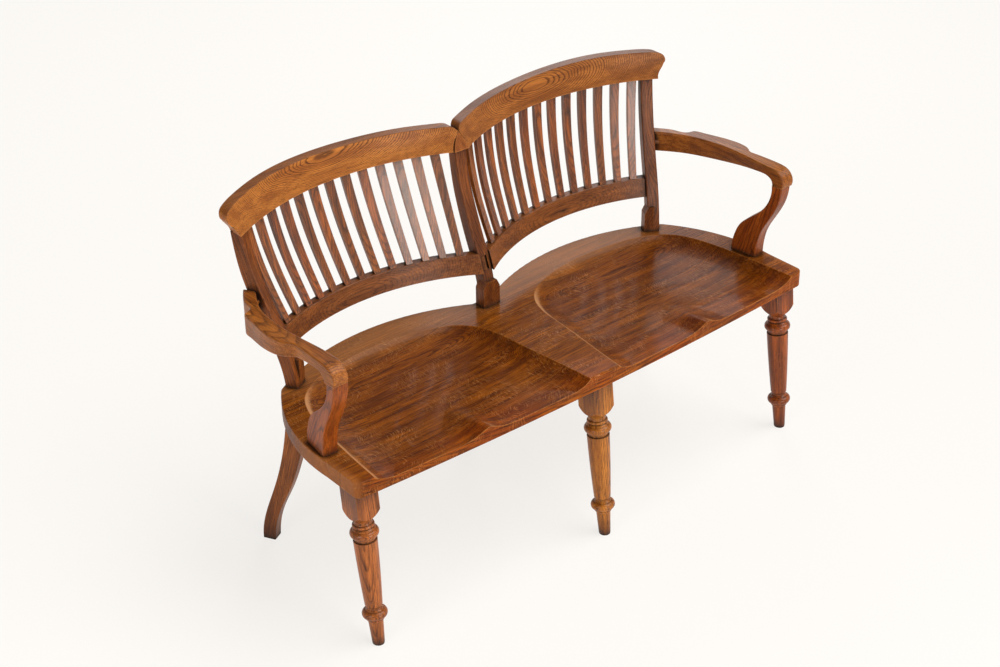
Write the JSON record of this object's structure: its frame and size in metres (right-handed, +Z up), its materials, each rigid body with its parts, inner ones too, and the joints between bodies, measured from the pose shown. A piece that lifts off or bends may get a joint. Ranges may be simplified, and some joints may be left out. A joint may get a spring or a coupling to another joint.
{
  "type": "chair back settee",
  "caption": "Oak settee with chair backs side by side, curved slat backs, dished plank seat, flat arms on swan supports, turned front legs and swept rear legs.",
  "frame": {"origin": "on the floor under the middle of the settee's length and depth", "axes": "+X along the settee to the left hand of someone who sits on it, +Y to its back, +Z up"},
  "size_m": [1.3968, 0.648, 0.8777],
  "materials": {
    "seat_oak": "worn satin wax polish",
    "leg_oak": "worn satin wax polish",
    "middle_leg_oak": "worn satin wax polish",
    "post_oak": "worn satin wax polish",
    "rail_oak": "worn satin wax polish",
    "crest_oak": "worn satin wax polish",
    "slat_oak": "worn satin wax polish",
    "arm_oak": "worn satin wax polish"
  },
  "bodies": {
    "root": {"seat": "seat_oak", "front_leg_left": "leg_oak", "front_leg_right": "leg_oak", "front_leg_middle": "middle_leg_oak", "rear_leg_left": "leg_oak", "rear_leg_middle": "leg_oak", "rear_leg_right": "leg_oak", "post_left": "post_oak", "post_middle": "post_oak", "post_right": "post_oak", "lower_rail_left": "rail_oak", "lower_rail_right": "rail_oak", "crest_rail_left": "crest_oak", "crest_rail_right": "crest_oak", "keystone": "crest_oak", "arm_left": "arm_oak", "arm_right": "arm_oak", "arm_support_left": "arm_oak", "arm_support_right": "arm_oak", "slat_left_01": "slat_oak", "slat_left_02": "slat_oak", "slat_left_03": "slat_oak", "slat_left_04": "slat_oak", "slat_left_05": "slat_oak", "slat_left_06": "slat_oak", "slat_left_07": "slat_oak", "slat_left_08": "slat_oak", "slat_left_09": "slat_oak", "slat_left_10": "slat_oak", "slat_left_11": "slat_oak", "slat_left_12": "slat_oak", "slat_left_13": "slat_oak", "slat_right_01": "slat_oak", "slat_right_02": "slat_oak", "slat_right_03": "slat_oak", "slat_right_04": "slat_oak", "slat_right_05": "slat_oak", "slat_right_06": "slat_oak", "slat_right_07": "slat_oak", "slat_right_08": "slat_oak", "slat_right_09": "slat_oak", "slat_right_10": "slat_oak", "slat_right_11": "slat_oak", "slat_right_12": "slat_oak", "slat_right_13": "slat_oak"}
  },
  "joints": []
}
